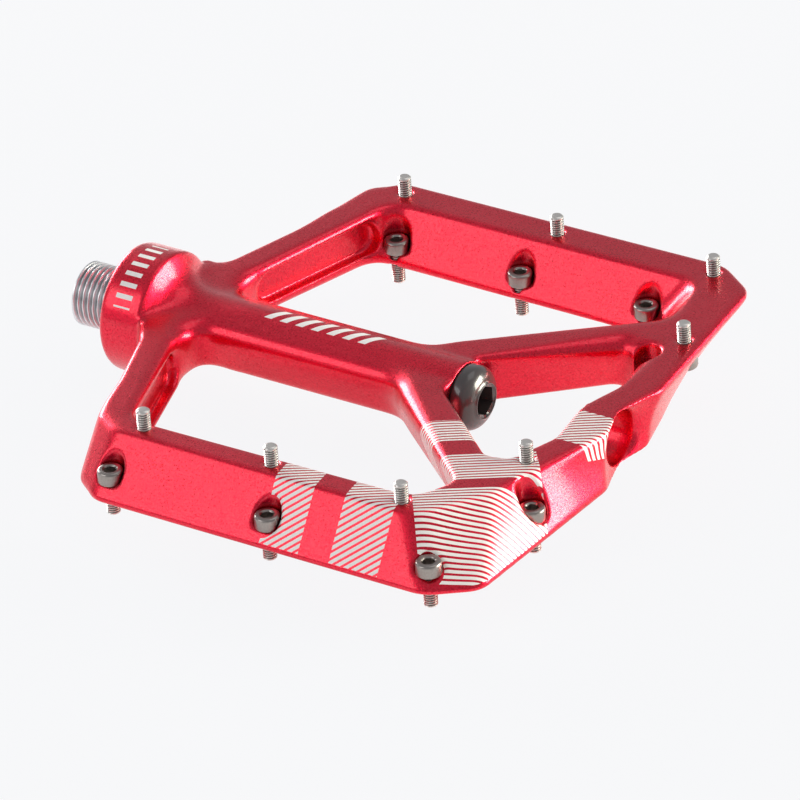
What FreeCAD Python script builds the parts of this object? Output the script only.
import FreeCAD, Part
import Sketcher
import math
import os
import re

# Flat platform pedal, right-hand crank side, in millimetres.
# The origin is on the axle axis at the shoulder that seats on the crank.
# +X runs along the axle towards the end cap, +Y towards the rear side plate, +Z up.
# The platform is symmetric under a half turn about X, so every lower outline is
# an upper outline turned over: (x, y, z) -> (x, -y, -z).

V = FreeCAD.Vector
AXLE = V(1, 0, 0)
UP = V(0, 0, 1)
SIDES = (("up", 1), ("down", -1))

doc = FreeCAD.newDocument("flat_pedal")

# ---------------------------------------------------------------- dimensions
# alias, value, note
DIMS = [
    ("frame_thickness", 12.5, "height of the flat frame between its two faces"),
    ("lip_height", 1.3, "upright lip along the wide edge of each side plate"),
    ("outer_round", 1.0, "scale of the edge rounding of the outside contour"),
    ("inner_round", 1.0, "scale of the edge rounding of the three large openings"),
    ("tube_radius", 7.5, "axle tube, outside"),
    ("tube_end", 84.3, "outboard end face of the axle tube"),
    ("collar_radius", 14.1, "inboard collar, outside"),
    ("collar_round", 1.3, "rounding of the inboard collar edge"),
    ("collar_start", 0.6, "inboard face of the collar"),
    ("collar_end", 10.3, "outboard end of the collar drum"),
    ("seal_bore_radius", 9.0, "seal recess in the collar"),
    ("seal_bore_end", 4.6, "bottom of the seal recess"),
    ("bush_bore_radius", 7.0, "seat of the plain bush"),
    ("bush_bore_end", 17.0, "bottom of the bush seat"),
    ("relief_radius", 5.9, "clearance bore between the bearings"),
    ("race_bore_radius", 6.5, "seat of the cartridge bearings"),
    ("race_bore_start", 56.0, "shoulder that the first bearing rests on"),
    ("cap_bore_radius", 6.7, "cap thread bore"),
    ("cap_bore_start", 76.5, "bottom of the cap thread bore"),
    ("tool_hole_radius", 5.6, "tool access hole through the outer frame"),
    ("tool_hole_start", 105.0, "inboard end of the tool hole cutter"),
    ("tool_hole_end", 130.0, "outboard end of the tool hole cutter"),
    ("tool_mouth_radius", 14.5, "flared mouth of the tool hole at its outer end"),
    ("tool_mouth_start", 118.0, "where the flare begins"),
    ("tool_mouth_end", 125.9, "outer end of the flare"),
    ("channel_bottom", -3.6, "lower edge of the rear arm channel"),
    ("channel_top", 4.2, "upper edge of the rear arm channel"),
    ("channel_depth", 3.6, "depth of the channels in the inboard arms"),
    ("pocket_radius", 3.05, "screw head pocket"),
    ("pocket_seat", 2.74, "height of the screw head seat from mid-plane"),
    ("pocket_reach", 9.0, "open end of the pocket cutter from mid-plane"),
    ("tap_radius", 1.5, "tapped hole for the pins"),
    ("tap_length", 24.0, "tapped hole cutter, centred on mid-plane"),
    ("pin_radius", 1.475, "pin shank, thread crest"),
    ("pin_length", 7.7, "pin shank below the head"),
    ("pin_head_radius", 2.75, "pin head"),
    ("pin_head_height", 3.0, "pin head"),
    ("pin_head_chamfer", 0.3, "chamfer round the socket end of the head"),
    ("pin_head_gap", 0.01, "gap between the pin head and its seat"),
    ("pin_key_flats", 2.5, "hexagon socket across flats"),
    ("pin_key_depth", 1.6, "hexagon socket depth"),
    ("pin_tip_chamfer", 0.35, "chamfer of the pin point"),
    ("thread_radius", 7.1, "axle thread, crest"),
    ("thread_length", 11.5, "axle thread from shoulder to end"),
    ("thread_chamfer", 1.1, "chamfer of the threaded end"),
    ("flange_radius", 8.5, "axle thrust flange"),
    ("flange_thickness", 2.2, "axle thrust flange"),
    ("journal_radius", 5.47, "axle journal in the bush"),
    ("journal_end", 20.0, "outboard end of the journal"),
    ("journal_taper", 1.5, "length of the cone from journal to waist"),
    ("waist_radius", 4.6, "axle between journal and bearings"),
    ("shoulder_radius", 3.75, "axle shoulder against the first inner race"),
    ("shoulder_length", 2.0, "straight part of the shoulder"),
    ("shoulder_taper", 1.0, "length of the cone from waist to shoulder"),
    ("race_seat_radius", 2.99, "axle seat of the inner races"),
    ("nose_end", 77.0, "outboard end of the axle"),
    ("nose_chamfer", 0.6, "chamfer of the outboard end"),
    ("key_flats", 8.0, "hexagon socket in the threaded end"),
    ("key_depth", 9.0, "hexagon socket depth"),
    ("bush_outer_radius", 6.99, "plain bush, outside"),
    ("bush_inner_radius", 5.5, "plain bush, inside"),
    ("bush_start", 4.8, "plain bush inboard end"),
    ("bush_end", 16.8, "plain bush outboard end"),
    ("bush_chamfer", 0.3, "chamfer of the outboard outer edge"),
    ("seal_outer_radius", 8.97, "collar seal, outside"),
    ("seal_inner_radius", 5.53, "collar seal lip"),
    ("seal_start", 2.5, "collar seal inboard face"),
    ("seal_end", 4.5, "collar seal outboard face"),
    ("seal_recess_depth", 0.9, "radial depth of the recess inboard of the lip"),
    ("seal_recess_length", 0.9, "length of that recess"),
    ("seal_lip_bevel", 0.3, "length of the cone from recess to lip"),
    ("bearing_width", 5.0, "cartridge bearing width"),
    ("race_outer_radius", 6.49, "outer race, outside"),
    ("race_outer_land", 5.4, "outer race, inside land"),
    ("race_chamfer", 0.25, "chamfers of the outer race"),
    ("race_inner_land", 4.1, "inner race, outside land"),
    ("race_inner_radius", 3.0, "inner race bore"),
    ("ball_radius", 1.0, "bearing ball"),
    ("ball_pitch", 4.75, "ball circle radius"),
    ("groove_radius", 1.04, "race groove"),
    ("cage_outer_radius", 5.2, "ball cage, outside"),
    ("cage_inner_radius", 4.3, "ball cage, inside"),
    ("cage_width", 3.0, "ball cage width"),
    ("cage_pocket_radius", 1.06, "ball cage pocket"),
    ("shield_inner_radius", 4.2, "bearing shield, inside"),
    ("shield_outer_radius", 5.38, "bearing shield, outside"),
    ("shield_thickness", 0.3, "bearing shield"),
    ("shield_inset", 0.1, "shield below the bearing face"),
    ("washer_radius", 5.0, "thrust washer, outside"),
    ("washer_hole_radius", 3.05, "thrust washer, inside"),
    ("washer_thickness", 0.8, "thrust washer"),
    ("nut_flats", 10.0, "lock nut across flats"),
    ("nut_height", 4.0, "lock nut height"),
    ("nut_thread_radius", 3.0, "lock nut thread"),
    ("cap_radius", 7.05, "end cap flange"),
    ("cap_flange_start", 84.5, "underside of the cap flange"),
    ("cap_flange_thickness", 2.0, "straight part of the cap flange"),
    ("cap_edge", 0.35, "small edge break of the cap"),
    ("cap_face", 89.5, "outer face of the end cap"),
    ("cap_face_radius", 4.2, "flat ring round the cap socket, outside"),
    ("cap_mouth_radius", 3.75, "flat ring round the cap socket, inside"),
    ("cap_floor_radius", 3.4, "foot of the bevel inside the flat ring"),
    ("cap_plug_radius", 6.64, "cap thread, crest"),
    ("cap_plug_start", 78.2, "inboard end of the cap plug"),
    ("cap_plug_chamfer", 0.5, "chamfer of the plug"),
    ("cap_key_flats", 6.0, "hexagon socket of the cap"),
    ("cap_key_depth", 4.2, "hexagon socket depth"),
    ("cap_key_overrun", 0.5, "start of the socket cut beyond the cap face"),
    ("cap_groove_radius", 5.75, "bottom of the cap seal groove"),
    ("cap_groove_start", 82.4, "cap seal groove"),
    ("cap_groove_end", 83.5, "cap seal groove"),
    ("oring_radius", 6.21, "cap seal ring centre line"),
    ("oring_section", 0.42, "cap seal ring section radius"),
]
# name, x, y of the screw pins whose points stand on the upper face; the same
# pattern turned over about X gives the lower ones
PINS = {
    "rear_plate": [("pin_a", 33.6, 58.0), ("pin_b", 72.3, 58.0), ("pin_c", 111.0, 58.0)],
    "outer_frame": [("pin_d", 119.2, 31.2), ("pin_e", 114.05, -24.15)],
    "front_plate": [("pin_f", 99.4, -48.85), ("pin_g", 68.0, -48.85), ("pin_k", 36.6, -48.85)],
}
for pins in PINS.values():
    for name, x, y in pins:
        DIMS.append((name + "_x", x, "pin position"))
        DIMS.append((name + "_y", y, "pin position"))

sheet = doc.addObject("Spreadsheet::Sheet", "dims")
for row, (alias, number, note) in enumerate(DIMS, start=1):
    sheet.set("A%d" % row, note)
    sheet.set("B%d" % row, "%g" % number)
    sheet.setAlias("B%d" % row, alias)
doc.recompute()


def dim(alias):
    return float(sheet.get(alias))


# Formulas below write a dimension as @alias.
def bound(formula):
    """The formula as a FreeCAD expression on the sheet."""
    return formula.replace("@", "dims.")


def value(formula):
    """Number of a formula made of + - * / without brackets."""
    total = 0.0
    for sign, term in re.findall(r"([+-]?)([^+-]+)", str(formula).replace(" ", "")):
        product = -1.0 if sign == "-" else 1.0
        for operator, factor in re.findall(r"([*/]?)([^*/]+)", term):
            number = dim(factor[1:]) if factor.startswith("@") else float(factor)
            product = product / number if operator == "/" else product * number
        total += product
    return total


def place(item, **formulas):
    """Bind the x, y or z position of an object."""
    for axis, formula in formulas.items():
        item.setExpression("Placement.Base." + axis, bound(formula))


# ---------------------------------------------------------------- sketches and bodies
def origin_feature(body, role):
    return next(f for f in body.Origin.OriginFeatures if f.Role == role)


def new_sketch(body, name, plane):
    sketch = body.newObject("Sketcher::SketchObject", name)
    sketch.AttachmentSupport = [(origin_feature(body, plane), "")]
    sketch.MapMode = "FlatFace"
    return sketch


def add_polygon(sketch, corners):
    count = len(corners)
    for i in range(count):
        start, end = corners[i], corners[(i + 1) % count]
        sketch.addGeometry(Part.LineSegment(V(*start), V(*end)), False)
    for i in range(count):
        sketch.addConstraint(Sketcher.Constraint("Coincident", i, 2, (i + 1) % count, 1))


def hold_point(sketch, geometry, vertex, coordinates):
    """Bind a sketch point; a zero coordinate puts it on the axis instead."""
    for kind, axis, formula in zip(("DistanceX", "DistanceY"), (-2, -1), coordinates):
        distance = value(formula)
        if abs(distance) < 1e-9:
            sketch.addConstraint(Sketcher.Constraint("PointOnObject", geometry, vertex, axis))
        else:
            index = sketch.addConstraint(
                Sketcher.Constraint(kind, -1, 1, geometry, vertex, distance))
            sketch.setExpression("Constraints[%d]" % index, bound(formula))


def hold_radius(sketch, circle, radius, formula):
    index = sketch.addConstraint(Sketcher.Constraint("Radius", circle, radius))
    sketch.setExpression("Constraints[%d]" % index, bound(formula))


def circle_sketch(body, name, plane, radius, x, y):
    sketch = new_sketch(body, name, plane)
    sketch.addGeometry(Part.Circle(V(value(x), value(y), 0), UP, value(radius)), False)
    hold_radius(sketch, 0, value(radius), radius)
    hold_point(sketch, 0, 3, (x, y))
    doc.recompute()
    return sketch


def hex_sketch(body, name, plane, flats, offset):
    """Regular hexagon on a construction circle, offset along the plane normal."""
    sketch = new_sketch(body, name, plane)
    sketch.AttachmentOffset = FreeCAD.Placement(V(0, 0, value(offset)), FreeCAD.Rotation())
    sketch.setExpression("AttachmentOffset.Base.z", bound(offset))
    radius = value(flats) / math.sqrt(3.0)
    angles = [math.radians(60 * k) for k in range(6)]
    add_polygon(sketch, [(radius * math.cos(a), radius * math.sin(a), 0) for a in angles])
    circle = sketch.addGeometry(Part.Circle(V(0, 0, 0), UP, radius), True)
    sketch.addConstraint(Sketcher.Constraint("Coincident", circle, 3, -1, 1))
    for k in range(6):
        sketch.addConstraint(Sketcher.Constraint("PointOnObject", k, 1, circle))
    for k in range(1, 6):
        sketch.addConstraint(Sketcher.Constraint("Equal", 0, k))
    sketch.addConstraint(Sketcher.Constraint("PointOnObject", 0, 1, -1))
    hold_radius(sketch, circle, radius, flats + " / sqrt(3)")
    return sketch


def turned(label, points, axis="H_Axis"):
    """Body turned from a closed profile in XZ; H_Axis is X, V_Axis is Z."""
    body = doc.addObject("PartDesign::Body", label)
    sketch = new_sketch(body, label + "_profile", "XZ_Plane")
    add_polygon(sketch, [(value(x), value(y), 0) for x, y in points])
    for i, point in enumerate(points):
        hold_point(sketch, i, 1, point)
    doc.recompute()
    revolution = body.newObject("PartDesign::Revolution", label + "_revolution")
    revolution.Profile = sketch
    revolution.ReferenceAxis = (sketch, [axis])
    revolution.Angle = 360.0
    sketch.Visibility = False
    body.Tip = revolution
    doc.recompute()
    return body


def ring(label, start, end, inner, outer):
    """Plain ring of rectangular section about X."""
    return turned(label, [(start, inner), (end, inner), (end, outer), (start, outer)])


def socket(body, name, plane, flats, offset, depth, along_normal):
    """Hexagon socket cut from the offset plane, along or against its normal."""
    sketch = hex_sketch(body, name + "_outline", plane, flats, offset)
    doc.recompute()
    pocket = body.newObject("PartDesign::Pocket", name)
    pocket.Profile = sketch
    pocket.Type = 0
    pocket.Length = value(depth)
    pocket.setExpression("Length", bound(depth))
    pocket.Reversed = along_normal
    doc.recompute()
    body.Tip = pocket
    sketch.Visibility = False


def cylinder(name, radius, length, direction, **position):
    item = doc.addObject("Part::Cylinder", name)
    item.setExpression("Radius", bound(radius))
    item.setExpression("Height", bound(length))
    item.Placement = FreeCAD.Placement(V(0, 0, 0), FreeCAD.Rotation(UP, direction))
    place(item, **position)
    return item


def feature(name, shape):
    item = doc.addObject("Part::Feature", name)
    item.Shape = shape
    return item


def compound(name, links):
    item = doc.addObject("Part::Compound", name)
    item.Links = links
    return item


# ---------------------------------------------------------------- frame outlines
# Corners of the upper face: x, y, corner radius, edge rounding.
OUTER_TOP = [
    (24.4, 57.3, 4.5, 1.2), (31.4, 62.1, 6.0, 1.0),
    (111.7, 62.1, 8.0, 1.0), (121.7, 54.95, 6.0, 1.0),
    (125.2, 10.5, 22.0, 1.2), (124.7, -4.6, 16.0, 1.2), (120.8, -18.5, 20.0, 1.2),
    (114.2, -38.0, 10.0, 1.0), (104.6, -52.4, 9.0, 1.0),
    (31.4, -52.4, 6.0, 1.0), (24.3, -47.7, 4.5, 1.2),
    (21.0, -35.5, 40.0, 1.2), (15.4, -19.6, 8.0, 1.2), (9.6, -10.4, 2.0, 0.8),
    (9.0, 14.5, 2.0, 0.8), (14.6, 16.2, 4.0, 1.2), (20.6, 35.5, 60.0, 1.2),
]
FRONT_TOP = [
    (24.4, -9.3, 4.0, 4.5), (22.3, -17.3, 6.0, 2.2), (31.3, -45.8, 5.0, 1.6),
    (100.4, -45.8, 6.5, 1.0), (103.6, -36.9, 2.6, 1.4), (70.2, -9.3, 9.0, 4.5),
]
REAR_TOP = [
    (21.5, 6.1, 4.0, 1.8), (22.3, 13.6, 7.0, 2.2), (33.6, 53.4, 6.5, 1.6),
    (111.2, 53.4, 6.0, 1.4), (111.3, 39.0, 6.0, 4.2), (71.6, 6.1, 9.0, 1.8),
]
OUTBOARD_TOP = [
    (84.3, 5.4, 1.6, 1.2), (84.3, -8.4, 1.6, 1.2), (104.8, -26.0, 3.4, 1.4),
    (110.0, -25.2, 2.4, 1.4), (114.3, -14.4, 4.0, 1.4), (112.9, -1.0, 9.0, 1.4),
    (116.3, 9.2, 4.0, 1.6), (114.3, 21.6, 4.5, 5.0), (110.6, 25.2, 4.0, 4.0),
]
FRAME_CENTRE = V(62.0, 0, 0)  # the lean of the outside walls is judged from here
MAX_TANGENT = 0.47            # longest corner tangent, as a share of a side
MAX_COSINE = 0.97             # limit on the angle between face and wall
WALL_WEIGHT_SHIFT = 0.08      # share of the far ring's weight at the foot of a rounding
# pole weights down a band of faces
ROUND = (1.0, math.cos(math.radians(45.0)), 1.0)
STRAIGHT = (1.0, 1.0)


def turned_over(outline):
    return [(x, -y, radius, rounding) for x, y, radius, rounding in outline]


def own_lower(outline, shift):
    """An outline turned over, run in its own sense from its matching corner."""
    low = turned_over(outline)[::-1]
    return low[shift:] + low[:shift]


def winding(outline):
    """-1 for a clockwise outline seen from +Z, otherwise +1."""
    area = sum(p[0] * q[1] - q[0] * p[1] for p, q in zip(outline[-1:] + outline, outline))
    return -1.0 if area < 0 else 1.0


# ---------------------------------------------------------------- frame surfaces
class Corner:
    """Rounded corner: start, sharp and end poles, middle weight, edge rounding."""

    def __init__(self, poles, weight, rounding=None):
        self.poles = poles
        self.weight = weight
        self.rounding = rounding


def mix(a, b, share):
    return a + (b - a) * share


def unit(vector):
    result = V(vector)
    result.normalize()
    return result


def meet(p, p_direction, q, q_direction):
    """Crossing of two lines in a horizontal plane."""
    cross = p_direction.x * q_direction.y - p_direction.y * q_direction.x
    if abs(cross) < 1e-9:
        return (p + q) * 0.5
    run = ((q.x - p.x) * q_direction.y - (q.y - p.y) * q_direction.x) / cross
    return p + p_direction * run


def corner_ring(outline, z):
    points = [V(x, y, z) for x, y, _, _ in outline]
    corners = []
    for i, (_, _, radius, rounding) in enumerate(outline):
        sharp = points[i]
        back = points[i - 1] - sharp
        ahead = points[(i + 1) % len(points)] - sharp
        back_length, ahead_length = back.Length, ahead.Length
        back.normalize()
        ahead.normalize()
        half_angle = back.getAngle(ahead) / 2.0
        tangent = min(radius / math.tan(half_angle),
                      MAX_TANGENT * back_length, MAX_TANGENT * ahead_length)
        poles = [sharp + back * tangent, sharp, sharp + ahead * tangent]
        corners.append(Corner(poles, math.sin(half_angle), rounding))
    return corners


def edge_rings(edge, far_ring, scale, into_material):
    """Tangent rings of a rounded edge: one on the face, one on the wall."""
    on_face, on_wall = [], []
    for corner, far in zip(edge, far_ring):
        start, sharp, end = corner.poles
        far_start, far_sharp, far_end = far.poles
        tangent_in, tangent_out = unit(sharp - start), unit(end - sharp)
        legs, normals = [], []
        for tangent, wall in ((tangent_in, far_start - start), (tangent_out, far_end - end)):
            normal = V(-tangent.y, tangent.x, 0) * into_material
            cosine = max(-MAX_COSINE, min(MAX_COSINE, normal.dot(unit(wall))))
            half_gap = (math.pi - math.acos(cosine)) / 2.0
            legs.append(scale * corner.rounding * math.tan(half_gap))
            normals.append(normal)
        face_start = start + normals[0] * legs[0]
        face_end = end + normals[1] * legs[1]
        face_sharp = meet(face_start, tangent_in, face_end, tangent_out)
        on_face.append(Corner([face_start, face_sharp, face_end], corner.weight))
        wall_poles = [start + unit(far_start - start) * legs[0],
                      sharp + unit(far_sharp - sharp) * (0.5 * (legs[0] + legs[1])),
                      end + unit(far_end - end) * legs[1]]
        on_wall.append(Corner(wall_poles, mix(corner.weight, far.weight, WALL_WEIGHT_SHIFT)))
    return on_face, on_wall


def patch(rows, along_weights, down_weights):
    """Single-span rational face from rows of poles, one row per ring."""
    across, down = len(rows[0]), len(rows)
    poles = [[rows[j][i] for j in range(down)] for i in range(across)]
    weights = [[along_weights[j][i] * down_weights[j] for j in range(down)]
               for i in range(across)]
    surface = Part.BSplineSurface()
    surface.buildFromPolesMultsKnots(
        poles, [across, across], [down, down], [0.0, 1.0], [0.0, 1.0],
        False, False, across - 1, down - 1, weights)
    return surface.toShape()


def band(rings, down_weights):
    """Faces through consecutive rings: one patch per corner, one per straight."""
    faces = []
    count = len(rings[0])
    for i in range(count):
        j = (i + 1) % count
        faces.append(patch([r[i].poles for r in rings],
                           [[1.0, r[i].weight, 1.0] for r in rings], down_weights))
        faces.append(patch([[r[i].poles[2], r[j].poles[0]] for r in rings],
                           [[1.0, 1.0] for r in rings], down_weights))
    return faces


def line(start, end):
    return Part.LineSegment(start, end).toShape()


def spline(poles, mults, knots, degree, *weights):
    curve = Part.BSplineCurve()
    curve.buildFromPolesMultsKnots(poles, mults, knots, False, degree, *weights)
    return curve.toShape()


def ring_wire(corners):
    edges = []
    for i, corner in enumerate(corners):
        following = corners[(i + 1) % len(corners)]
        edges.append(spline(corner.poles, [3, 3], [0.0, 1.0], 2, [1.0, corner.weight, 1.0]))
        edges.append(line(corner.poles[2], following.poles[0]))
    return Part.Wire(edges)


def contour_faces(levels, scale, into_material):
    """Walls through the levels, both edges rounded; also the two face wires."""
    face_top, wall_top = edge_rings(levels[0], levels[1], scale, into_material)
    face_low, wall_low = edge_rings(levels[-1], levels[-2], scale, into_material)
    faces = band([face_top, levels[0], wall_top], ROUND)
    wall = [wall_top] + levels[1:-1] + [wall_low]
    for upper, lower in zip(wall, wall[1:]):
        faces += band([upper, lower], STRAIGHT)
    faces += band([wall_low, levels[-1], face_low], ROUND)
    return faces, ring_wire(face_top), ring_wire(face_low)


def outside_levels(half, lip):
    """Four rings; each wall leans, with an upright lip at its wider face."""
    heights = [half, half - lip, -half + lip, -half]
    levels = [[] for _ in heights]
    leaning = 2 * half - lip
    for top, low in zip(corner_ring(OUTER_TOP, 0.0), corner_ring(own_lower(OUTER_TOP, 6), 0.0)):
        top_point, low_point = top.poles[1], low.poles[1]
        outward = (top_point + low_point) * 0.5 - FRAME_CENTRE
        wide_top = (top_point - low_point).dot(outward) >= 0
        for k, z in enumerate(heights):
            if wide_top:
                share = max(0.0, (half - lip - z) / leaning)
            else:
                share = min(1.0, (half - z) / leaning)
            flat = [mix(a, b, share) for a, b in zip(top.poles, low.poles)]
            levels[k].append(Corner([V(p.x, p.y, z) for p in flat],
                                    mix(top.weight, low.weight, share),
                                    low.rounding if k > 1 else top.rounding))
    return levels


def frame_blank():
    """Flat frame with leaning walls and rounded edges, closed from its faces."""
    half = dim("frame_thickness") / 2.0
    contours = [contour_faces(outside_levels(half, dim("lip_height")),
                              dim("outer_round"), winding(OUTER_TOP))]
    openings = ((FRONT_TOP, turned_over(REAR_TOP)), (REAR_TOP, turned_over(FRONT_TOP)),
                (OUTBOARD_TOP, own_lower(OUTBOARD_TOP, 7)))
    for upper, lower in openings:
        levels = [corner_ring(upper, half), corner_ring(lower, -half)]
        contours.append(contour_faces(levels, dim("inner_round"), -winding(upper)))
    faces = [face for contour in contours for face in contour[0]]
    for wire in (1, 2):
        faces.append(Part.Face([contour[wire] for contour in contours],
                               "Part::FaceMakerBullseye"))
    shell = Part.makeShell(faces)
    shell.sewShape()
    solid = Part.Solid(shell)
    if solid.Volume < 0:
        solid.reverse()
    return solid


# ---------------------------------------------------------------- platform
def at(x, radius):
    return V(x, 0, radius)


def revolved(edges):
    return Part.Face(Part.Wire(edges)).revolve(V(0, 0, 0), AXLE, 360)


def hub_blank():
    """Collar drum, neck and axle tube, turned solid about X."""
    collar, tube = dim("collar_radius"), dim("tube_radius")
    start, drum_end, end = dim("collar_start"), dim("collar_end"), dim("tube_end")
    rounding = dim("collar_round")
    round_rise = 0.38  # arc mid-point, inward from both tangents
    inboard = at(start, collar - rounding)
    drum_from = at(start + rounding, collar)
    drum_to = at(drum_end, collar)
    neck_from = at(drum_end + 0.8, collar - 0.75)
    tube_from = at(drum_end + 8.2, tube)
    neck = [neck_from, at(drum_end + 1.9, collar - 2.9),
            at(drum_end + 3.2, tube + 0.35), tube_from]
    return revolved([
        line(at(start, 0), inboard),
        Part.Arc(inboard, at(start + round_rise, collar - round_rise), drum_from).toShape(),
        line(drum_from, drum_to),
        Part.Arc(drum_to, at(drum_end + 0.55, collar - 0.22), neck_from).toShape(),
        spline(neck, [4, 4], [0.0, 1.0], 3),
        line(tube_from, at(end, tube)),
        line(at(end, tube), at(end, 0)),
        line(at(end, 0), at(start, 0)),
    ])


def tool_mouth():
    """Flared mouth of the tool hole, a dish that scallops both faces."""
    hole, rim = dim("tool_hole_radius"), dim("tool_mouth_radius")
    start, end = dim("tool_mouth_start"), dim("tool_mouth_end")
    length = end - start
    flare = [at(start, hole), at(start + 0.40 * length, hole),
             at(start + 0.58 * length, hole + 0.4),
             at(start + 0.66 * length, hole + 0.35 * (rim - hole)), at(end, rim)]
    return revolved([
        spline(flare, [4, 1, 4], [0.0, 0.5, 1.0], 3),
        line(at(end, rim), at(end, 0)),
        line(at(end, 0), at(start, 0)),
        line(at(start, 0), at(start, hole)),
    ])


# the rear arm's wall line that the channel follows
CHANNEL_FROM = V(23.6, 15.5, 0)
CHANNEL_TO = V(33.4, 47.5, 0)
CHANNEL_OVERRUN = 3.0  # cutter outside the wall
CHANNEL_EXTRA = 0.6    # added to the length beyond CHANNEL_TO


def channel():
    """Cutter of the round-ended channel in the opening-side wall of the rear arm."""
    along = unit(CHANNEL_TO - CHANNEL_FROM)
    into_arm = V(-along.y, along.x, 0)
    bottom, top = dim("channel_bottom"), dim("channel_top")
    radius = (top - bottom) / 2.0
    middle = V(0, 0, (top + bottom) / 2.0)
    reach = dim("channel_depth") + CHANNEL_OVERRUN
    start = CHANNEL_FROM - into_arm * CHANNEL_OVERRUN + along * radius
    run = (CHANNEL_TO - CHANNEL_FROM).Length - 2 * radius + CHANNEL_EXTRA
    box = Part.makeBox(run, reach, 2 * radius)
    box.Placement = FreeCAD.Placement(FreeCAD.Matrix(
        along.x, into_arm.x, 0, start.x,
        along.y, into_arm.y, 0, start.y,
        0, 0, 1, bottom,
        0, 0, 0, 1))
    ends = [Part.makeCylinder(radius, reach, start + along * step + middle, into_arm)
            for step in (0.0, run)]
    return box.fuse(ends).removeSplitter()


# name, radius, start, end
BORES = [
    ("seal_bore", "@seal_bore_radius", "-1", "@seal_bore_end"),
    ("bush_bore", "@bush_bore_radius", "0", "@bush_bore_end"),
    ("relief_bore", "@relief_radius", "0", "@race_bore_start + 1"),
    ("race_bore", "@race_bore_radius", "@race_bore_start", "@cap_bore_start + 1"),
    ("cap_bore", "@cap_bore_radius", "@cap_bore_start", "@tube_end + 1"),
    ("tool_hole", "@tool_hole_radius", "@tool_hole_start", "@tool_hole_end"),
]


def pin_hole_cutters(name, side, sign):
    """Head pocket, open away from the pin point, and the tapped hole through."""
    x, y = "@%s_x" % name, "@%s_y * %d" % (name, sign)
    return [
        cylinder("pocket_%s_%s" % (name, side), "@pocket_radius", "@pocket_seat + @pocket_reach",
                 V(0, 0, sign), x=x, y=y, z="@pocket_reach * %d" % -sign),
        cylinder("tap_%s_%s" % (name, side), "@tap_radius", "@tap_length",
                 UP, x=x, y=y, z="@tap_length * -0.5"),
    ]


def pedal_body():
    joined = doc.addObject("Part::MultiFuse", "joined_blank")
    joined.Shapes = [feature("frame_blank", frame_blank()), feature("hub_blank", hub_blank())]
    doc.recompute()
    cutters = [cylinder(name, radius, end + " - " + start, AXLE, x=start)
               for name, radius, start, end in BORES]
    cutters.append(feature("tool_mouth", tool_mouth()))
    for pins in PINS.values():
        for name, _, _ in pins:
            for side, sign in SIDES:
                cutters += pin_hole_cutters(name, side, sign)
    doc.recompute()
    cutters.append(feature("channel_rear", channel()))
    front_channel = channel()
    front_channel.rotate(V(0, 0, 0), AXLE, 180)
    cutters.append(feature("channel_front", front_channel))
    tools = doc.addObject("Part::MultiFuse", "platform_tools")
    tools.Shapes = cutters
    body = doc.addObject("Part::Cut", "pedal_body")
    body.Base = joined
    body.Tool = tools
    doc.recompute()
    return body


# ---------------------------------------------------------------- axle, bush and seal
def spindle():
    """Threaded end, flange, journal, waist, shoulder, race seats and nose."""
    body = turned("spindle", [
        ("-@thread_length", 0),
        ("-@thread_length", "@thread_radius - @thread_chamfer"),
        ("@thread_chamfer - @thread_length", "@thread_radius"),
        (0, "@thread_radius"),
        (0, "@flange_radius"),
        ("@flange_thickness", "@flange_radius"),
        ("@flange_thickness", "@journal_radius"),
        ("@journal_end", "@journal_radius"),
        ("@journal_end + @journal_taper", "@waist_radius"),
        ("@race_bore_start - @shoulder_length - @shoulder_taper", "@waist_radius"),
        ("@race_bore_start - @shoulder_length", "@shoulder_radius"),
        ("@race_bore_start", "@shoulder_radius"),
        ("@race_bore_start", "@race_seat_radius"),
        ("@nose_end - @nose_chamfer", "@race_seat_radius"),
        ("@nose_end", "@race_seat_radius - @nose_chamfer"),
        ("@nose_end", 0),
    ])
    socket(body, "spindle_socket", "YZ_Plane", "@key_flats", "-@thread_length",
           "@key_depth", along_normal=True)
    return body


def plain_bush():
    return turned("plain_bush", [
        ("@bush_start", "@bush_inner_radius"),
        ("@bush_end", "@bush_inner_radius"),
        ("@bush_end", "@bush_outer_radius - @bush_chamfer"),
        ("@bush_end - @bush_chamfer", "@bush_outer_radius"),
        ("@bush_start", "@bush_outer_radius"),
    ])


def collar_seal():
    recess = "@seal_inner_radius + @seal_recess_depth"
    recess_end = "@seal_start + @seal_recess_length"
    return turned("collar_seal", [
        ("@seal_start", recess),
        (recess_end, recess),
        (recess_end + " + @seal_lip_bevel", "@seal_inner_radius"),
        ("@seal_end", "@seal_inner_radius"),
        ("@seal_end", "@seal_outer_radius"),
        ("@seal_start", "@seal_outer_radius"),
    ])


# ---------------------------------------------------------------- cartridge bearings
BEARINGS = "abc"
BALLS = 8


def cut_track(race, middle):
    """Ball track: a groove of circular section turned about X."""
    sketch = circle_sketch(race, race.Name + "_track", "XZ_Plane",
                           "@groove_radius", middle, "@ball_pitch")
    groove = race.newObject("PartDesign::Groove", race.Name + "_groove")
    groove.Profile = sketch
    groove.ReferenceAxis = (sketch, ["H_Axis"])
    groove.Angle = 360.0
    doc.recompute()
    race.Tip = groove
    sketch.Visibility = False


def outer_race(letter, start, end, middle):
    race = turned("outer_race_" + letter, [
        (start, "@race_outer_land"),
        (end, "@race_outer_land"),
        (end, "@race_outer_radius - @race_chamfer"),
        (end + " - @race_chamfer", "@race_outer_radius"),
        (start + " + @race_chamfer", "@race_outer_radius"),
        (start, "@race_outer_radius - @race_chamfer"),
    ])
    cut_track(race, middle)
    return race


def inner_race(letter, start, end, middle):
    race = ring("inner_race_" + letter, start, end, "@race_inner_radius", "@race_inner_land")
    cut_track(race, middle)
    return race


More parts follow.
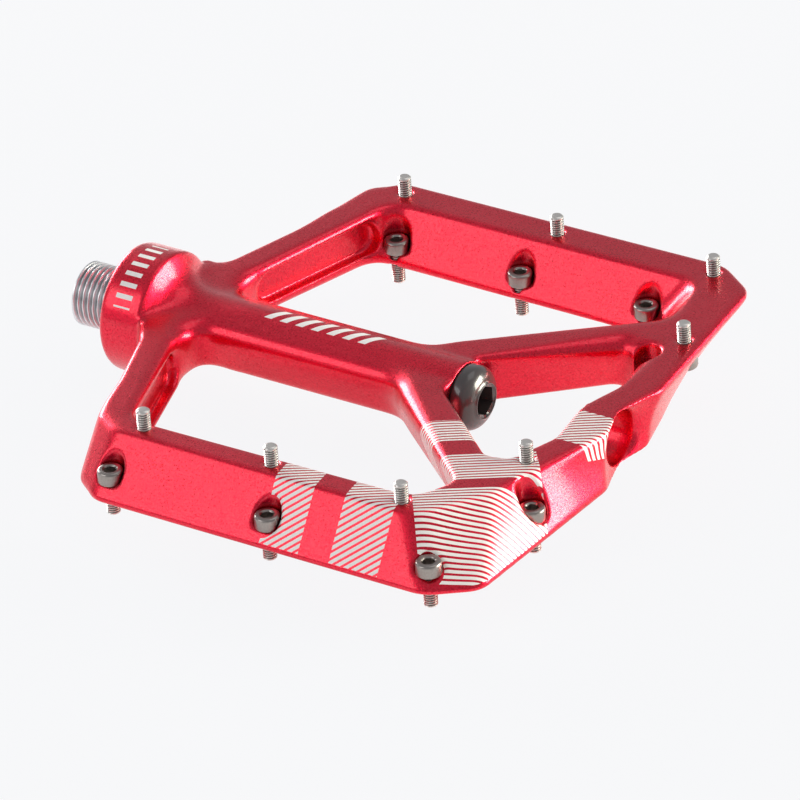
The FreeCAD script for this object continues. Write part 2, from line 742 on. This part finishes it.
def bearing_balls(letter, middle):
    balls = []
    for n in range(BALLS):
        ball = doc.addObject("Part::Sphere", "ball_%s_%d" % (letter, n))
        ball.setExpression("Radius", bound("@ball_radius"))
        angle = 360.0 * n / BALLS
        place(ball, x=middle, y="@ball_pitch * cos(%g deg)" % angle,
              z="@ball_pitch * sin(%g deg)" % angle)
        balls.append(ball)
    return compound("bearing_balls_" + letter, balls)


def ball_cage(letter, middle):
    """Ring with a window for each ball; every cut makes two opposite windows."""
    cage = ring("ball_cage_" + letter, middle + " - @cage_width/2", middle + " + @cage_width/2",
                "@cage_inner_radius", "@cage_outer_radius")
    sketch = circle_sketch(cage, "cage_pocket_" + letter, "XY_Plane",
                           "@cage_pocket_radius", middle, 0)
    windows = cage.newObject("PartDesign::Pocket", "cage_windows_" + letter)
    windows.Profile = sketch
    windows.Midplane = True
    windows.setExpression("Length", bound("@race_outer_radius * 3"))
    doc.recompute()
    pattern = cage.newObject("PartDesign::PolarPattern", "cage_pattern_" + letter)
    pattern.Originals = [windows]
    pattern.Axis = (origin_feature(cage, "X_Axis"), [""])
    pattern.Angle = 180.0 - 360.0 / BALLS
    pattern.Occurrences = BALLS // 2
    cage.Tip = pattern
    sketch.Visibility = False
    doc.recompute()
    return cage


def bearing_shields(letter, start, end):
    """Two thin washers closing the gap between the races."""
    shields = []
    faces = (start + " + @shield_inset", end + " - @shield_inset - @shield_thickness")
    for side, face in enumerate(faces):
        tag = "%s%d" % (letter, side)
        shield = doc.addObject("Part::Cut", "shield_" + tag)
        shield.Base = cylinder("shield_disc_" + tag, "@shield_outer_radius",
                               "@shield_thickness", AXLE, x=face)
        shield.Tool = cylinder("shield_hole_" + tag, "@shield_inner_radius",
                               "@shield_thickness + 2", AXLE, x=face + " - 1")
        shields.append(shield)
    return compound("bearing_shields_" + letter, shields)


def bearing(letter, index):
    start = "@race_bore_start + %d*@bearing_width" % index
    end = start + " + @bearing_width"
    middle = start + " + @bearing_width/2"
    return [
        outer_race(letter, start, end, middle),
        inner_race(letter, start, end, middle),
        bearing_balls(letter, middle),
        ball_cage(letter, middle),
        bearing_shields(letter, start, end),
    ]


# ---------------------------------------------------------------- washer and lock nut
STACK_END = "@race_bore_start + %d*@bearing_width" % len(BEARINGS)
WASHER_END = STACK_END + " + @washer_thickness"


def thrust_washer():
    return ring("thrust_washer", STACK_END, WASHER_END, "@washer_hole_radius", "@washer_radius")


def lock_nut():
    nut = doc.addObject("PartDesign::Body", "lock_nut")
    sketch = hex_sketch(nut, "nut_outline", "YZ_Plane", "@nut_flats", WASHER_END)
    radius = dim("nut_thread_radius")
    hole = sketch.addGeometry(Part.Circle(V(0, 0, 0), UP, radius), False)
    sketch.addConstraint(Sketcher.Constraint("Coincident", hole, 3, -1, 1))
    hold_radius(sketch, hole, radius, "@nut_thread_radius")
    doc.recompute()
    pad = nut.newObject("PartDesign::Pad", "nut_body")
    pad.Profile = sketch
    pad.setExpression("Length", bound("@nut_height"))
    sketch.Visibility = False
    nut.Tip = pad
    doc.recompute()
    return nut


# ---------------------------------------------------------------- end cap and its seal
def end_cap():
    """Plug with seal groove, flange, domed outer end and hexagon socket."""
    flange_end = "@cap_flange_start + @cap_flange_thickness"
    cap = turned("end_cap", [
        ("@cap_plug_start", 0),
        ("@cap_plug_start", "@cap_plug_radius - @cap_plug_chamfer"),
        ("@cap_plug_start + @cap_plug_chamfer", "@cap_plug_radius"),
        ("@cap_groove_start", "@cap_plug_radius"),
        ("@cap_groove_start", "@cap_groove_radius"),
        ("@cap_groove_end", "@cap_groove_radius"),
        ("@cap_groove_end", "@cap_plug_radius"),
        ("@cap_flange_start", "@cap_plug_radius"),
        ("@cap_flange_start", "@cap_radius - @cap_edge"),
        ("@cap_flange_start + @cap_edge", "@cap_radius"),
        (flange_end, "@cap_radius"),
        # the dome in straight steps
        (flange_end + " + 0.9", "@cap_radius - 0.35"),
        (flange_end + " + 1.8", "@cap_radius - 1.1"),
        ("@cap_face - @cap_edge", "@cap_face_radius + 0.9"),
        ("@cap_face", "@cap_face_radius"),
        ("@cap_face", "@cap_mouth_radius"),
        ("@cap_face - @cap_edge", "@cap_floor_radius"),
        ("@cap_face - 0.36", 0),
    ])
    socket(cap, "cap_socket", "YZ_Plane", "@cap_key_flats", "@cap_face + @cap_key_overrun",
           "@cap_key_depth + @cap_key_overrun", along_normal=False)
    return cap


def cap_o_ring():
    torus = doc.addObject("Part::Torus", "cap_o_ring")
    torus.setExpression("Radius1", bound("@oring_radius"))
    torus.setExpression("Radius2", bound("@oring_section"))
    torus.Placement = FreeCAD.Placement(V(0, 0, 0), FreeCAD.Rotation(UP, AXLE))
    place(torus, x="(@cap_groove_start + @cap_groove_end) / 2")
    return torus


# ---------------------------------------------------------------- screw pins
def pin_pattern():
    """One upward-pointing screw on the Z axis, key socket in its lower end."""
    head = "@pocket_seat - @pin_head_height"
    seat = "@pocket_seat - @pin_head_gap"
    tip = "@pocket_seat + @pin_length"
    pin = turned("pin_pattern", [
        (0, head),
        ("@pin_head_radius - @pin_head_chamfer", head),
        ("@pin_head_radius", head + " + @pin_head_chamfer"),
        ("@pin_head_radius", seat),
        ("@pin_radius", seat),
        ("@pin_radius", tip + " - @pin_tip_chamfer"),
        ("@pin_radius - @pin_tip_chamfer", tip),
        (0, tip),
    ], axis="V_Axis")
    socket(pin, "pin_socket", "XY_Plane", "@pin_key_flats", head,
           "@pin_key_depth", along_normal=True)
    return pin


def pin_groups():
    """One compound of screws for each part of the frame and each face."""
    pattern = pin_pattern()
    groups = []
    for group, pins in PINS.items():
        for side, sign in SIDES:
            screws = []
            for name, _, _ in pins:
                screw = compound("screw_%s_%s" % (name, side), [pattern])
                turn = FreeCAD.Rotation(AXLE, 0 if side == "up" else 180)
                screw.Placement = FreeCAD.Placement(V(0, 0, 0), turn)
                place(screw, x="@%s_x" % name, y="@%s_y * %d" % (name, sign))
                screws.append(screw)
            groups.append(compound("pins_%s_%s" % (group, side), screws))
    return groups


# ---------------------------------------------------------------- build, check and export
parts = [pedal_body(), spindle(), plain_bush(), collar_seal()]
for index, letter in enumerate(BEARINGS):
    parts += bearing(letter, index)
parts += [thrust_washer(), lock_nut(), end_cap(), cap_o_ring()]
parts += pin_groups()

doc.recompute()
bad = [item.Name for item in doc.Objects if "Invalid" in item.State or "Error" in item.State]
if bad:
    raise RuntimeError("objects not computed: " + ", ".join(bad))
for part in parts:
    if part.Shape.isNull() or not part.Shape.isValid() or not part.Shape.Solids:
        raise RuntimeError("shape fault: " + part.Label)
os.makedirs("parts", exist_ok=True)
for part in parts:
    part.Shape.exportStep("parts/%s.step" % part.Label)
